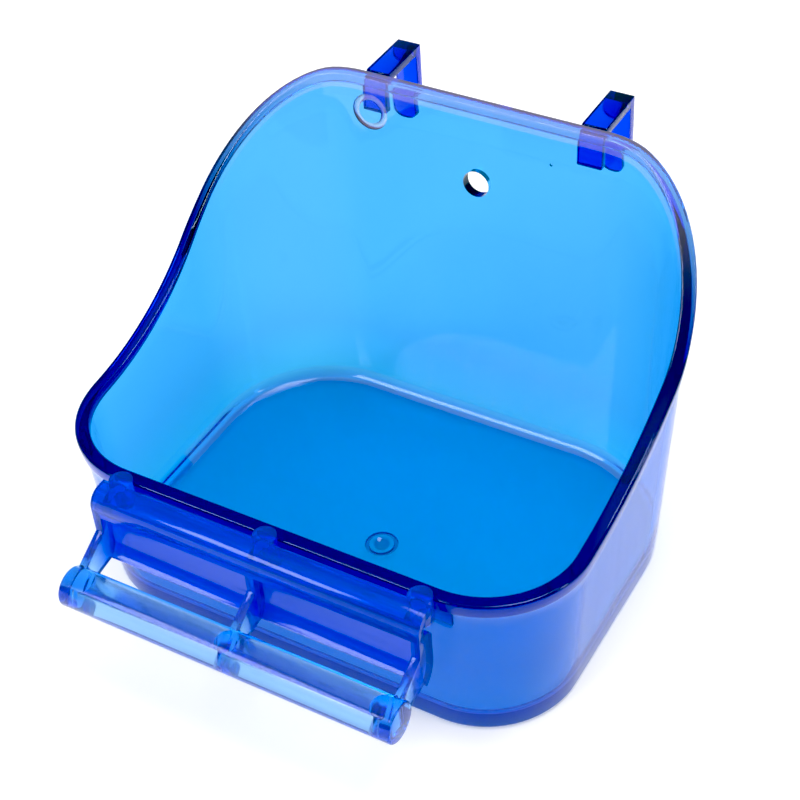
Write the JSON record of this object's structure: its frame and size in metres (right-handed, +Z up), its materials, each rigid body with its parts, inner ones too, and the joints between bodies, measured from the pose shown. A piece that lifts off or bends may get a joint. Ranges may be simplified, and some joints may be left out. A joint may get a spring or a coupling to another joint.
{
  "type": "hanging cage cup with clip-on perch",
  "caption": "Translucent moulded cup with a high back that hangs on cage wires by hooks behind it, with a clip-on perch bar in front of its low rim.",
  "frame": {"origin": "centre of the base's underside, where the cup rests", "axes": "+Z up, +Y towards the cage wall that the hooks hang on, +X to the right seen from the perch side"},
  "size_m": [0.1254, 0.1352, 0.0903],
  "materials": {
    "cup_plastic": "translucent blue, polished",
    "hook_plastic": "translucent blue, polished",
    "perch_plastic": "translucent blue, polished"
  },
  "bodies": {
    "cup_body": {"cup": "cup_plastic", "hook_left": "hook_plastic", "hook_right": "hook_plastic"},
    "perch_body": {"perch_bracket": "perch_plastic", "perch_arm_left": "perch_plastic", "perch_arm_middle": "perch_plastic", "perch_arm_right": "perch_plastic", "perch_bar": "perch_plastic"}
  },
  "joints": [
    {"name": "perch_clip", "type": "slide", "parent": "cup_body", "child": "perch_body", "axis": [0, -1, 0], "range_m": [0, 0.03]}
  ]
}
